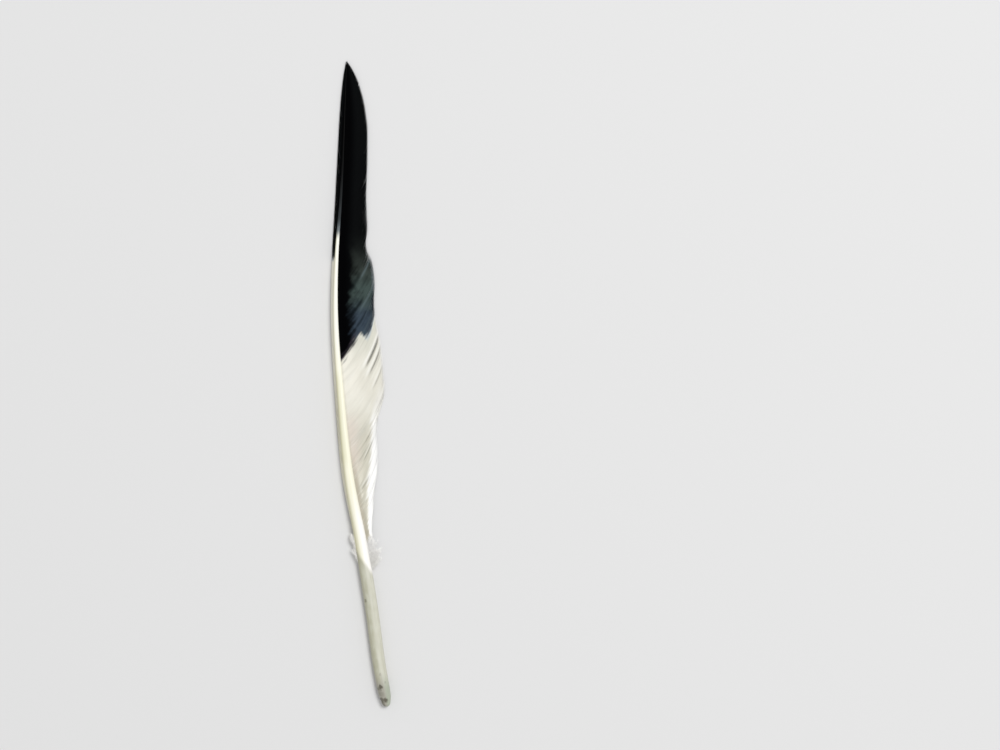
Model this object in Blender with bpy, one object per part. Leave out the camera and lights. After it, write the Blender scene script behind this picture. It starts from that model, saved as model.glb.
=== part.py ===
"""A goose's wing quill feather with a black tip, lying with its upper side up.

X runs across the feather towards its broad trailing vane, Y along it from the end of the
quill to the tip, and Z up from the surface that it lies on. Sizes are in millimetres until a
mesh is made. A place along the feather is its distance from the end of the quill.
"""
import math

import bmesh
import bpy
import numpy as np
from mathutils import Vector

MM = 0.001

# Shaft, the bare quill and the tapering rachis. Each list holds (place along, value): where its
# middle line lies sideways and in height, its width, and its height as a share of its width.
SHAFT_END = 301.8
QUILL_LENGTH = 72.0
SIDEWAYS = (
    (0, 12.2), (3, 11.85), (8, 10.9), (20, 8.8), (45, 5.4), (78, 0.1), (105, -4.9), (143, -9.0),
    (190, -11.7), (212, -11.1), (238, -9.2), (303.2, -6.6),
)
HEIGHT = (
    (0, 2.8), (36, 2.8), (75, 3.2), (112, 4.0), (155, 4.6), (195, 4.5), (240, 3.4), (280, 1.8),
    (303.2, 0.8),
)
WIDTH = (
    (2.5, 4.4), (5, 5.55), (8, 5.95), (14, 6.0), (45, 6.1), (72, 5.9), (92, 5.2), (124, 4.0),
    (152, 3.2), (190, 2.3), (222, 1.5), (260, 0.9), (303.2, 0.4),
)
TALLNESS = ((3, 0.95), (72, 0.93), (105, 1.02), (190, 1.05), (303.2, 1.0))
SHAFT_SIDES = 16
SHAFT_RINGS = 44

# The quill's tapered and rounded end: its rings up to the place where the quill is fully wide, how
# it rounds off, and the small hole in its middle.
BARREL_START = 8.5
END_RINGS = (0.0, 0.35, 1.2, 2.8, 5.4)
END_ROUNDING = 3.0
END_FULLNESS = 2.4
FIRST_PLACE = 0.08
NAVEL_DEPTH = 0.9
NAVEL_WIDTH = 0.3

# The groove under the rachis: its depth and width as shares of the rachis, where it begins, and
# how far on it has its full depth.
GROOVE_DEPTH = 0.42
GROOVE_WIDTH = 0.5
GROOVE_START = 78.0
GROOVE_FADE = 30.0

# Vanes. Each margin is (place along, distance across from the middle of the shaft), and each reach
# is (place of a barb's end on the margin, how much nearer the quill its root lies).
VANE_THICKNESS = 0.6
VANE_LIFT = 0.3
LOCK_RELIEF = 0.16
SHINGLE = np.array([-1.0, 1.0, 0.3])
FULLEST = 0.62
TRAILING = 1
LEADING = -1
MARGIN = {
    TRAILING: (
        (75.5, 3.2), (79, 5.5), (83, 6.2), (95, 9.3), (103, 11.2), (110, 13.4), (118, 14.7),
        (130, 15.5), (138, 16.9), (142, 17.8), (145.5, 19.9), (150, 20.9), (156, 21.1),
        (170, 20.7), (187, 18.3), (205, 17.7), (211, 16.2), (214.5, 14.2), (226, 13.4),
        (238, 12.0), (260, 11.4), (276, 10.5), (288, 7.9), (296, 4.9), (301, 2.0), (303.2, 0.3),
    ),
    LEADING: (
        (80, 2.7), (100, 3.3), (150, 2.9), (190, 2.4), (215, 2.4), (240, 2.8), (262, 2.7),
        (285, 2.1), (296, 1.3), (303.2, 0.3),
    ),
}
MARGIN_HEIGHT = {
    TRAILING: (
        (75.5, 2.8), (100, 1.4), (135, 0.5), (172, 0.5), (215, 0.9), (255, 1.0), (303.2, 0.8),
    ),
    LEADING: ((80, 2.2), (112, 0.65), (190, 0.65), (245, 0.9), (303.2, 0.8)),
}
CAMBER = {TRAILING: 1.9, LEADING: 1.6}
BARB_REACH = {
    TRAILING: (
        (75.5, 4.5), (95, 13.5), (120, 22.5), (150, 30.5), (175, 30), (205, 26), (230, 20),
        (260, 17), (282, 13.5), (296, 7.5), (303.2, 0.6),
    ),
    LEADING: ((80, 7), (100, 9), (150, 8.5), (240, 7.5), (285, 5.5), (303.2, 0.6)),
}
# How a barb bends along and across the feather, and how deep in the shaft it is rooted.
BEND_ALONG = 1.15
BEND_ACROSS = 1.4
BARB_ROOT = 0.4
LOCKS = {TRAILING: 46, LEADING: 24}
BARB_ROWS = {TRAILING: 8, LEADING: 4}
VANE_SPAN = {TRAILING: (77.5, 302.7), LEADING: (82.0, 302.7)}
LOCK_COLUMNS = len(SHINGLE)
NIBBLE = 0.035
# Slits in the trailing vane, as (place on its margin, share of the barb that stands apart).
SLITS = (
    (91, 0.2), (126.5, 0.3), (141, 0.4), (158, 0.34), (165.5, 0.42), (173, 0.46), (213.5, 0.3),
    (294, 0.2),
)

# Tuft of down at the foot of the vanes, as (place of its root, side, length, turn in degrees).
DOWN = (
    (65.0, TRAILING, 9.5, 58), (67.0, TRAILING, 8.0, 84), (69.5, TRAILING, 9.0, 66),
    (71.5, TRAILING, 8.0, 88), (73.5, TRAILING, 8.5, 70), (68.0, LEADING, 8.0, 40),
    (71.5, LEADING, 8.5, 28), (75.0, LEADING, 8.0, 42),
)
DOWN_ROOT = 0.1
DOWN_WIDTH = 2.1
DOWN_FLATNESS = 0.5
DOWN_LIFT = 1.2
DOWN_DROP = 1.2
DOWN_CURL = 0.55
DOWN_CREST = 0.8
# A lock of down is widest in the middle of its length: these are its ends on the sine's arch.
DOWN_ARCH = (0.12, 0.94)
DOWN_SIDES = 6
DOWN_RINGS = 6

# Where the black of the tip begins, as (share of the way across the trailing vane, place), on the
# leading vane, and on the shaft.
BLACK_FROM = ((0.14, 163.0), (0.38, 170.1), (0.65, 173.9), (0.8, 174.8), (1.0, 184.2))
LEADING_DARKENS = 210.0
SHAFT_DARKENS = 232.0
SHARP_EDGE = 35

COLOURS = {
    "quill": ((0.60, 0.58, 0.46), 0.35),
    "rachis": ((0.88, 0.85, 0.68), 0.35),
    "white_vane": ((0.86, 0.84, 0.78), 0.6),
    "black_vane": ((0.012, 0.013, 0.015), 0.5),
}


def smooth(stations, at):
    """The value at each place on a smooth curve through the stations."""
    place, value = np.array(stations, float).T
    slope = np.gradient(value, place)
    at = np.clip(at, place[0], place[-1])
    i = np.clip(np.searchsorted(place, at) - 1, 0, len(place) - 2)
    gap = place[i + 1] - place[i]
    t = (at - place[i]) / gap
    rise = value[i] * (1 + 2 * t) * (1 - t) ** 2 + value[i + 1] * t * t * (3 - 2 * t)
    return rise + gap * t * (1 - t) * (slope[i] * (1 - t) - slope[i + 1] * t)


def half_width(along):
    """The shaft's half width, which rounds off to nothing at the end of the quill."""
    rounding = np.clip(along / END_ROUNDING, 0, 1)
    return 0.5 * smooth(WIDTH, along) * np.sqrt(1 - (1 - rounding) ** END_FULLNESS)


def vane_height(side, along, across):
    """The height of a vane's middle surface, cambered from the shaft down to the margin."""
    root = smooth(HEIGHT, along) + VANE_LIFT * half_width(along)
    edge = smooth(MARGIN_HEIGHT[side], along)
    share = np.clip(across / smooth(MARGIN[side], along), 0, 1)
    return root + (edge - root) * share ** CAMBER[side]


def barbs(side, ends, shares):
    """Points down barbs that end at the given places on the margin, at shares of their length.

    A barb leaves the shaft at about 45 degrees, in the plan, and bends until it runs nearly
    along the margin.
    """
    reach = smooth(BARB_REACH[side], ends)
    along = ends - reach * (1 - shares ** BEND_ALONG)
    root = smooth(SIDEWAYS, ends - reach) + side * BARB_ROOT * half_width(ends - reach)
    end = smooth(SIDEWAYS, ends) + side * smooth(MARGIN[side], ends)
    x = root + (end - root) * (1 - (1 - shares) ** BEND_ACROSS)
    across = np.maximum(side * (x - smooth(SIDEWAYS, along)), 0)
    return np.stack([x, along, vane_height(side, along, across)], -1)


def mesh_object(name, points, faces):
    """A new object with its mesh in metres and its faces turned outwards."""
    mesh = bpy.data.meshes.new(name)
    mesh.from_pydata([tuple(p) for p in np.asarray(points) * MM], [], faces)
    body = bmesh.new()
    body.from_mesh(mesh)
    bmesh.ops.recalc_face_normals(body, faces=body.faces)
    body.to_mesh(mesh)
    body.free()
    made = bpy.data.objects.new(name, mesh)
    bpy.context.scene.collection.objects.link(made)
    return made


def tube(name, rings):
    """A closed tube through rings of points, with a fan on its first and last ring's middle."""
    count, sides = rings.shape[:2]
    points = np.concatenate([rings.reshape(-1, 3), rings[[0, -1]].mean(1)])
    faces = []
    for i in range(count - 1):
        for j in range(sides):
            k = (j + 1) % sides
            faces.append((i * sides + j, i * sides + k, (i + 1) * sides + k, (i + 1) * sides + j))
    for j in range(sides):
        k = (j + 1) % sides
        last = (count - 1) * sides
        faces.append((count * sides, k, j))
        faces.append((count * sides + 1, last + j, last + k))
    return mesh_object(name, points, faces)


def make_shaft():
    """The quill and rachis: an oval section, grooved below, carried along the shaft's curve."""
    along = np.concatenate([END_RINGS, np.linspace(BARREL_START, SHAFT_END, SHAFT_RINGS)])
    turn = (np.arange(SHAFT_SIDES) + 0.5) / SHAFT_SIDES * 2 * math.pi
    wide = half_width(np.maximum(along, FIRST_PLACE))
    tall = wide * smooth(TALLNESS, along)
    across = wide[:, None] * np.cos(turn)
    up = tall[:, None] * np.sin(turn)
    fade = np.clip((along - GROOVE_START) / GROOVE_FADE, 0, 1)[:, None]
    groove = np.clip(1 - (np.cos(turn) / GROOVE_WIDTH) ** 2, 0, 1) * (np.sin(turn) < 0)
    up = up + fade * GROOVE_DEPTH * tall[:, None] * groove
    rings = np.stack(
        [
            smooth(SIDEWAYS, along)[:, None] + across,
            np.repeat(along[:, None], SHAFT_SIDES, 1),
            smooth(HEIGHT, along)[:, None] + up,
        ],
        -1,
    )
    middle = rings[:1].mean(1, keepdims=True)
    navel = middle + NAVEL_WIDTH * (rings[:1] - middle) + np.array([0, NAVEL_DEPTH, 0])
    return tube("goose_feather", np.concatenate([navel, rings]))


def slit_shares(ends):
    """How much of each barb's length is left whole, by column: less in a valley at a slit."""
    left = np.full(len(ends), 1.0)
    left[::LOCK_COLUMNS] = 1 - NIBBLE
    valleys = np.arange(0, len(ends), LOCK_COLUMNS)
    for place, share in SLITS:
        nearest = valleys[np.argmin(abs(ends[valleys] - place))]
        left[nearest] = 1 - share
    return left


def make_vane(side, name):
    """A vane as one slab whose grid follows the barbs, in locks that overlap like shingles."""
    columns = LOCKS[side] * LOCK_COLUMNS + 1
    ends = np.linspace(*VANE_SPAN[side], columns)
    shares = np.linspace(0, 1, BARB_ROWS[side])[None, :]
    left = slit_shares(ends) if side == TRAILING else np.ones(columns)
    middle = barbs(side, ends[:, None], shares * left[:, None])
    normal = np.cross(np.gradient(middle, axis=0), np.gradient(middle, axis=1))
    normal *= np.sign(normal[..., 2:])
    normal /= np.linalg.norm(normal, axis=-1, keepdims=True)
    shingle = SHINGLE[np.arange(columns) % LOCK_COLUMNS, None] * np.sin(FULLEST * math.pi * shares)
    middle += LOCK_RELIEF * shingle[..., None] * normal
    half = 0.5 * VANE_THICKNESS * normal
    rows = BARB_ROWS[side]
    points = np.concatenate([(middle + half).reshape(-1, 3), (middle - half).reshape(-1, 3)])
    under = columns * rows
    faces = []
    for i in range(columns - 1):
        for j in range(rows - 1):
            a, b, c, d = i * rows + j, (i + 1) * rows + j, (i + 1) * rows + j + 1, i * rows + j + 1
            faces.append((a, b, c, d))
            faces.append((under + d, under + c, under + b, under + a))
    rim = [i * rows for i in range(columns)]
    rim += [(columns - 1) * rows + j for j in range(1, rows)]
    rim += [i * rows + rows - 1 for i in range(columns - 2, -1, -1)]
    rim += [j for j in range(rows - 2, 0, -1)]
    for a, b in zip(rim, rim[1:] + rim[:1]):
        faces.append((a, b, under + b, under + a))
    return mesh_object(name, points, faces)


def make_down(root, side, length, turn, name):
    """One curved lock of down: a flat oval section that swells, curls up and comes to a point."""
    share = np.linspace(0, 1, DOWN_RINGS)
    lean = math.radians(turn) * (1 - DOWN_CURL * share)
    step = length / (DOWN_RINGS - 1)
    x = smooth(SIDEWAYS, root)
    x = x + side * (DOWN_ROOT * half_width(root) + np.cumsum(np.sin(lean)) * step)
    y = root + np.cumsum(np.cos(lean)) * step
    z = smooth(HEIGHT, root) + DOWN_LIFT * np.sin(DOWN_CREST * math.pi * share) - DOWN_DROP * share
    wide = 0.5 * DOWN_WIDTH * np.sqrt(np.sin(math.pi * np.linspace(*DOWN_ARCH, DOWN_RINGS)))
    around = np.arange(DOWN_SIDES) / DOWN_SIDES * 2 * math.pi
    rings = np.stack(
        [
            x[:, None] + wide[:, None] * np.cos(around) * np.cos(lean)[:, None],
            y[:, None] - side * wide[:, None] * np.cos(around) * np.sin(lean)[:, None],
            z[:, None] + DOWN_FLATNESS * wide[:, None] * np.sin(around),
        ],
        -1,
    )
    return tube(name, rings)


def join(whole, piece):
    """Grows a piece onto the whole by a Boolean union, and removes the piece."""
    union = whole.modifiers.new("join", "BOOLEAN")
    union.operation = "UNION"
    union.object = piece
    evaluated = whole.evaluated_get(bpy.context.evaluated_depsgraph_get())
    merged = bpy.data.meshes.new_from_object(evaluated)
    whole.modifiers.remove(union)
    whole.data = merged
    bpy.data.objects.remove(piece)


def settle(feather):
    """Centres the mesh's box over the origin, on the ground, and returns the move undone."""
    points = np.array([v.co for v in feather.data.vertices])
    low, high = points.min(0), points.max(0)
    shift = Vector(((low[0] + high[0]) / 2, (low[1] + high[1]) / 2, low[2]))
    for vertex in feather.data.vertices:
        vertex.co -= shift
    return np.array(shift) / MM


def paint(feather, shift):
    """Gives each face the material of its place: quill, rachis, white vane or black tip."""
    for name, (colour, roughness) in COLOURS.items():
        material = bpy.data.materials.new(name)
        material.use_nodes = True
        shader = material.node_tree.nodes["Principled BSDF"]
        shader.inputs["Base Color"].default_value = (*colour, 1)
        shader.inputs["Roughness"].default_value = roughness
        feather.data.materials.append(material)
    slots = {name: number for number, name in enumerate(COLOURS)}
    for face in feather.data.polygons:
        x, along, _ = np.array(face.center) / MM + shift
        across = x - smooth(SIDEWAYS, along)
        border = LEADING_DARKENS
        if across > 0:
            border = smooth(BLACK_FROM, across / smooth(MARGIN[TRAILING], along))
        if abs(across) < half_width(along) and along < SHAFT_DARKENS:
            face.material_index = slots["quill" if along < QUILL_LENGTH else "rachis"]
        else:
            face.material_index = slots["black_vane" if along > border else "white_vane"]


def main():
    for old in list(bpy.data.objects):
        bpy.data.objects.remove(old)
    feather = make_shaft()
    join(feather, make_vane(TRAILING, "trailing_vane"))
    join(feather, make_vane(LEADING, "leading_vane"))
    for number, (root, side, length, turn) in enumerate(DOWN):
        join(feather, make_down(root, side, length, turn, f"down_{number}"))
    paint(feather, settle(feather))
    feather.data.shade_smooth()
    feather.data.set_sharp_from_angle(angle=math.radians(SHARP_EDGE))


main()
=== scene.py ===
"""Looks of a goose's wing quill feather with a black tip, lying with its upper side up.

Sizes are in millimetres until a mesh is made. The drawing's X runs across the feather towards its
broad trailing vane, Y along it from the end of the quill to the tip, and Z up. A place along the
feather is its distance from the end of the quill. The vanes are made of their barbs, one closed
blade each, laid side by side on the same curved surfaces as the solid feather's.
"""
import math

import bpy
import numpy as np
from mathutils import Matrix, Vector


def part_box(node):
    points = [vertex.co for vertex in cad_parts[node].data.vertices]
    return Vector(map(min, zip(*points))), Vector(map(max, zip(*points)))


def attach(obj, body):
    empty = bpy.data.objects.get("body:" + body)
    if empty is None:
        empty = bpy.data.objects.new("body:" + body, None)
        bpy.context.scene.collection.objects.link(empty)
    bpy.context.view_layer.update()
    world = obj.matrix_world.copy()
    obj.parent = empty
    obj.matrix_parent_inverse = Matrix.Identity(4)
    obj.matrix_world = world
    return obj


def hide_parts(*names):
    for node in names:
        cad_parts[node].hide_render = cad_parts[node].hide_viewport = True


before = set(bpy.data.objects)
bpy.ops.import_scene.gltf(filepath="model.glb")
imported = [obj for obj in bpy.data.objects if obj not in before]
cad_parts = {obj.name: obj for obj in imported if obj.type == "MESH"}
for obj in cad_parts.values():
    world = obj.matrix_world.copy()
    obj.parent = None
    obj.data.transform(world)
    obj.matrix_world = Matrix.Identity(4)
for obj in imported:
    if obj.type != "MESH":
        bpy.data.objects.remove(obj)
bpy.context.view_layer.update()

SOLID = "goose_feather"
MM = 0.001
UP = np.array([0, 0, 1.0])

# Lowest corner of the solid feather's box in the drawing, which the frame puts at its own place.
DRAWN_LOW = (-14.518, 0.0, -0.025)

# The shaft's middle line and section, as (place along, value).
SHAFT_END = 302.0
SIDEWAYS = (
    (0, 12.2), (3, 11.85), (8, 10.9), (20, 8.8), (45, 5.4), (78, 0.1), (105, -4.9), (143, -9.0),
    (190, -11.7), (212, -11.1), (238, -9.2), (303.2, -6.6),
)
HEIGHT = (
    (0, 2.8), (36, 2.8), (75, 3.2), (112, 4.0), (155, 4.6), (195, 4.5), (240, 3.4), (280, 1.8),
    (303.2, 0.8),
)
WIDTH = (
    (2.5, 4.4), (5, 5.55), (8, 5.95), (14, 6.0), (45, 6.1), (72, 5.9), (92, 5.2), (124, 4.0),
    (152, 3.2), (190, 2.3), (222, 1.5), (260, 0.9), (303.2, 0.4),
)
TALLNESS = ((3, 0.95), (72, 0.93), (105, 1.02), (190, 1.05), (303.2, 1.0))
SQUARENESS = ((0, 2.0), (66, 2.05), (100, 2.5), (220, 2.6), (303.2, 2.0))
SHAFT_RINGS = 420
SHAFT_SIDES = 56
TIP_SHAFT_START = 225.0

# The quill's end is rounded over a length, down to the width that the shaft has at the rim's place.
END_ROUNDING = 3.0
END_FULLNESS = 2.4
END_RINGS = 14
RIM_PLACE = 0.05

# The groove beneath the rachis, and the pit where it starts at the foot of the vanes.
GROOVE_START = 78.0
GROOVE_FADE = 30.0
GROOVE_DEPTH = 0.42
GROOVE_REACH = 0.5
PIT_PLACE = 74.5
PIT_LENGTH = 1.6
PIT_DEPTH = 0.9
PIT_REACH = 0.25

# Rings of the hole in the end of the quill, from its bottom out, as (share of the way in from the rim,
# share of the depth, how much painted shade darkens it).
NAVEL_DEPTH = 2.2
NAVEL = ((0.96, 1.0, 1.0), (0.7, 0.9, 1.0), (0.6, 0.4, 1.0), (0.5, 0.08, 0.5))

# The vanes: (place, distance across from the middle of the shaft) along each margin, and its height.
TRAILING = 1
LEADING = -1
MARGIN = {
    TRAILING: (
        (75.5, 3.2), (79, 5.5), (83, 6.2), (95, 9.3), (103, 11.2), (110, 13.4), (118, 14.7), (130, 15.5),
        (138, 16.9), (142, 17.8), (145.5, 19.9), (150, 20.9), (156, 21.1), (170, 20.7), (187, 18.3),
        (205, 17.7), (211, 16.2), (214.5, 14.2), (226, 13.4), (238, 12.0), (260, 11.4), (276, 10.5),
        (288, 7.9), (296, 4.9), (301, 2.0), (303.2, 0.3),
    ),
    LEADING: (
        (80, 2.7), (100, 3.3), (150, 2.9), (190, 2.4), (215, 2.4), (240, 2.8), (262, 2.7), (285, 2.1),
        (296, 1.3), (303.2, 0.3),
    ),
}
MARGIN_HEIGHT = {
    TRAILING: ((75.5, 2.8), (100, 1.4), (135, 0.5), (172, 0.5), (215, 0.9), (255, 1.0), (303.2, 0.8)),
    LEADING: ((80, 2.2), (112, 0.65), (190, 0.65), (245, 0.9), (303.2, 0.8)),
}
CAMBER = {TRAILING: 1.9, LEADING: 1.6}
VANE_LIFT = 0.3

# Barbs end between two places, a pitch apart.
VANE_SPAN = {TRAILING: (76.8, 303.5), LEADING: (81.0, 303.5)}
BARB_PITCH = {TRAILING: 0.36, LEADING: 0.42}
BARB_SEGMENTS = {TRAILING: 30, LEADING: 16}

# How much nearer the quill a barb's root lies than its end, by the place of its end.
BARB_REACH = {
    TRAILING: (
        (75.5, 4.5), (95, 13.5), (120, 22.5), (150, 30.5), (175, 30), (205, 26), (230, 20), (260, 17),
        (282, 13.5), (296, 7.5), (303.2, 0.6),
    ),
    LEADING: ((80, 7), (100, 9), (150, 8.5), (240, 7.5), (285, 5.5), (303.2, 0.6)),
}
BEND_ALONG = 1.15
BEND_ACROSS = 1.4
BARB_ROOT = 0.4

# A barb's section: how wide it is for each millimetre to the next barb, and its heights at the root.
BARB_OVERLAP = 1.28
BARB_RIDGE = 0.085
BARB_KEEL = 0.17
BARB_TILT = 0.02
BARB_THINS = 0.5
TAPER_POWER = 7
TAPER_LEAST = 0.002
# How much of a ridge each corner of the section is: an edge, the ridge, the other edge, the keel.
RIDGE_SHOWN = np.array([0, 1, 0, 0.3])

# How locks of barbs differ, and barbs within a lock. Nibbles fade out between two places by the tip.
VANE_SEED = 7
LOCK_LENGTH = (1.6, 8.0)
LOCK_RELIEF = {TRAILING: 0.34, LEADING: 0.14}
LEAST_RELIEF = 0.05
LOCK_CREST = 0.62
LOCK_STRAY = {TRAILING: 0.2, LEADING: 0.05}
BARB_STRAY = 0.03
STRAY_POWER = 4
LOCK_NIBBLE = 0.012
BARB_NIBBLE = 0.006
NIBBLE_FADE = (290, 299)
LOCK_TONE = 0.45
BARB_TONE = 0.55

# Slits in the trailing vane, as (place on its margin, share of the barb that stands apart, gap).
SLITS = (
    (91, 0.2, 0.5), (100.5, 0.25, 0.4), (120.4, 0.3, 0.5), (133.6, 0.42, 0.5), (141, 0.34, 0.5),
    (151, 0.3, 0.4), (162.6, 0.34, 0.5), (171, 0.42, 0.85), (176, 0.45, 1.15), (213, 0.3, 0.4),
    (281.4, 0.13, 0.4), (293.2, 0.12, 0.4),
)
SLIT_SPREAD = 2.2
SLIT_LIFT = 0.3
SLIT_EYE = 1.12
SLIT_BLUNTNESS = 0.7

# Painted lines down the barbs: shadows beside the slits and lock edges, and highlights on the lifted
# edges, as (end place of the barb, from share, to share, half width, strength).
SHADOW_LINES = (
    (175.6, 0.54, 0.93, 0.8, 0.75), (170.6, 0.57, 0.93, 0.75, 0.5), (162.6, 0.64, 0.92, 0.6, 0.3),
    (151.2, 0.62, 0.95, 0.5, 0.3), (138.0, 0.22, 0.46, 0.7, 0.28), (134.0, 0.4, 0.7, 0.7, 0.5),
    (120.4, 0.24, 0.52, 0.7, 0.4), (213.4, 0.34, 0.58, 1.3, 0.7), (204.1, 0.26, 0.58, 1.1, 0.85),
    (209.0, 0.55, 0.8, 0.8, 0.4), (196.4, 0.3, 0.62, 0.9, 0.45), (152.0, 0.2, 0.42, 3.0, 0.13),
)
HIGHLIGHT_LINES = (
    (177.4, 0.48, 0.96, 0.9, 0.7), (172.6, 0.5, 0.96, 0.9, 0.6), (164.0, 0.6, 0.95, 0.8, 0.5),
    (135.6, 0.4, 0.72, 0.8, 0.5), (122.2, 0.26, 0.6, 0.8, 0.45), (112.0, 0.3, 0.6, 0.9, 0.5),
    (201.4, 0.5, 0.9, 0.8, 0.6), (212.2, 0.6, 1.05, 0.6, 0.7), (198.2, 0.8, 1.05, 0.8, 0.4),
    (189.6, 0.52, 0.85, 0.7, 0.35),
)
LINE_FADE = 0.07

# Black barbs are those that end past a place, which drifts down them, as (share, place).
BLACK_FROM = (
    (0.0, 189.0), (0.1, 189.2), (0.3, 190.8), (0.5, 190.6), (0.62, 185.4), (0.75, 184.2),
    (0.88, 186.2), (1.0, 186.0),
)
BLACK_LEADING = 210.0
FINISH_SPLIT = {TRAILING: 188.0, LEADING: 204.0}

# Tuft of down at the foot of the vanes, as (place of its root, side, length, turn in degrees).
DOWN = (
    (65.0, TRAILING, 9.5, 58), (67.0, TRAILING, 8.0, 84), (69.5, TRAILING, 9.0, 66),
    (71.5, TRAILING, 8.0, 88), (73.5, TRAILING, 8.5, 70), (68.0, LEADING, 8.0, 40),
    (71.5, LEADING, 8.5, 28), (75.0, LEADING, 8.0, 42),
)
DOWN_SEED = {TRAILING: 11, LEADING: 12}
DOWN_ROOT = 0.1
DOWN_LIFT = 1.2
DOWN_CREST = 0.8
DOWN_DROP = 1.2
DOWN_SWAY = 0.7
DOWN_CURL = (0.2, 1.7)
DOWN_STRAY = 1.5
PLUMES = 15
PLUME_STEPS = 12
PLUME_LENGTH = (0.45, 1.02)
PLUME_SPREAD = 24.0
PLUME_THICKNESS = 0.09
PLUME_THINS = 0.7

# Wisps in each row of a plume, where they grow on it, and how they leave it and bend.
WISPS = 60
WISP_STEPS = 4
WISP_STRETCH = (0.25, 0.99)
WISP_SPLAY = (25, 80)
WISP_RISE = (-0.5, 0.6)
WISP_LENGTH = 1.7
WISP_VARIES = (0.45, 1.1)
WISP_ARCH = (0.2, 0.7)
WISP_BEND = (0.1, 0.8)
WISP_WAVE = 0.16
WISP_THICKNESS = 0.06
WISP_THINS = 0.75

# Plumes and wisps have this many corners round them. None of them runs in the steady direction,
# so it can turn every ring the same way round.
STRAND_SIDES = 3
STEADY = (0.13, -0.07, 1.0)

# A strand's lane in the UV map: the part of its width that the walls fill, and the size of its ends.
LANE_START = 0.05
LANE_FILLED = 0.9
CAP_WIDTH = 0.4
CAP_HEIGHT = 0.001

# Faces that turn by more degrees than this meet in a sharp edge.
SHARP_ANGLE = 55

# Colours, as a screen shows their red, green and blue from 0 to 255. First the white barbs.
CREAM = (240, 238, 227)
DULL_CREAM = (233, 230, 218)
BRIGHT_CREAM = (248, 245, 234)
GREY_CREAM = (212, 209, 193)
ROSY_CREAM = (228, 216, 206)
WARM_CREAM = (237, 234, 220)
SHADED_CREAM = (190, 181, 164)
SHAFT_SHADOW = (190, 186, 168)
BORDER_GREY = (198, 201, 188)
WORN_BARB = (186, 184, 170)
FRESH_BARB = (250, 249, 243)
STRIP_SHADOW = (186, 182, 166)
# Painted highlight on the vane's lower margin, where it curls up to the light.
STRIP_HIGHLIGHT = (254, 254, 253)
FURROW = (184, 181, 168)
# Painted highlight and painted shadow along single barbs.
HIGHLIGHT_LINE = (252, 252, 247)
SHADE_LINE = (112, 110, 94)
MIST = (196, 210, 220)
OLIVE_WHITE = (248, 245, 226)
OLIVE_WORN = (230, 226, 202)
OLIVE_BRIGHT = (255, 252, 236)

# Colours of the black barbs. The slate ones are partly the barbs' own tone and partly painted sheen.
JET = (2, 2, 3)
SLATE_BLUE = (58, 70, 82)
SLATE_GREEN = (66, 79, 76)
SLATE_GREY = (64, 71, 66)
SLATE_EDGE_HIGHLIGHT = (86, 97, 100)
DARK_MARGIN = (16, 28, 38)
JET_RIDGE = (70, 76, 76)
# Painted highlight and painted shadow along single black barbs.
JET_HIGHLIGHT_LINE = (98, 112, 116)
JET_SHADE_LINE = (6, 12, 14)
SMOKE = (66, 60, 68)

# Colours of the down, the rachis and the quill.
DOWN_FOOT = (246, 245, 241)
DOWN_WHITE = (254, 253, 251)
IVORY = (253, 251, 234)
IVORY_STREAK = (246, 243, 219)
IVORY_FOOT_HIGHLIGHT = (254, 252, 250)
IVORY_UPPER = (250, 250, 243)
IVORY_SHADE = (230, 228, 198)
IVORY_LEADING_SHADE = (202, 198, 160)
IVORY_UNDER_SHADE = (226, 220, 190)
QUILL = (203, 203, 185)
QUILL_MOTTLE = (188, 187, 165)
QUILL_SHEEN = (214, 213, 200)
QUILL_LEADING_SHADE = (170, 167, 138)
QUILL_TRAILING_SHADE = (184, 182, 164)
QUILL_CLEAR = (163, 160, 149)
QUILL_CLEAR_TRAILING = (164, 172, 154)
QUILL_STREAK = (160, 160, 142)
QUILL_HOLE_SHADE = (84, 76, 64)
QUILL_STAIN = (84, 80, 66)

# Below this level a screen's light is in proportion to the level.
DARK_LEVEL = 10

# The rachis darkens into the tip, as (from place, to place, grey of a screen that it comes to).
RACHIS_DARKENS = (
    (219.0, 224.0, 105), (224.0, 230.0, 56), (230.0, 240.0, 34), (240.0, 252.0, 12), (252.0, 262.0, 3),
)
TIP_TINT = (0.93, 1.0, 1.04)

# Stains on the quill, as (place, side, size along, size across, strength), where side runs from -1 to 1.
QUILL_STAINS = (
    (9.5, -0.33, 1.0, 0.3, 0.85), (8.4, -0.7, 0.8, 0.4, 0.5), (3.2, -0.7, 1.1, 0.42, 0.75),
    (3.1, 0.1, 1.15, 0.42, 0.85), (1.3, -0.7, 1.3, 0.45, 0.5), (49.8, -0.75, 0.7, 0.2, 0.5),
    (11.8, 0.5, 0.5, 0.12, 0.3), (15.2, -0.1, 0.9, 0.14, 0.22), (6.2, -0.5, 1.2, 0.5, 0.25),
)

# Each finish's roughness and specular level.
GLOSS = {
    "white_barbs": (0.62, 0.15),
    "black_barbs": (0.62, 0.01),
    "shaft_horn": (0.34, 0.4),
    "tip_horn": (0.34, 0.04),
    "down": (0.75, 0.1),
    "floor_paper": (0.9, 0.2),
}

# The photograph looks straight down. The middle of its 1000 by 750 pixels lies at this place in the
# drawing, and it is 470 mm wide at the feather's mean height.
VIEW_MIDDLE = (65.565, 155.805)
VIEW_WIDTH = 470.0
MEAN_HEIGHT = 2.5
CAMERA_HEIGHT = 1500.0
CAMERA_NEAR = 0.01
SENSOR_WIDTH = 36.0

# Floor and light, in metres. The floor lies just under the down's lowest wisps.
FLOOR_COLOUR = (0.76, 0.76, 0.76, 1)
FLOOR_SIZE = 8.0
FLOOR_HEIGHT = -0.00005
SKY_COLOUR = (1, 1, 1, 1)
SKY_STRENGTH = 0.55
KEY_PLACE = (1.1, 0.9, 3.0)
KEY_SIZE = 1.2
KEY_POWER = 61.0


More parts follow.
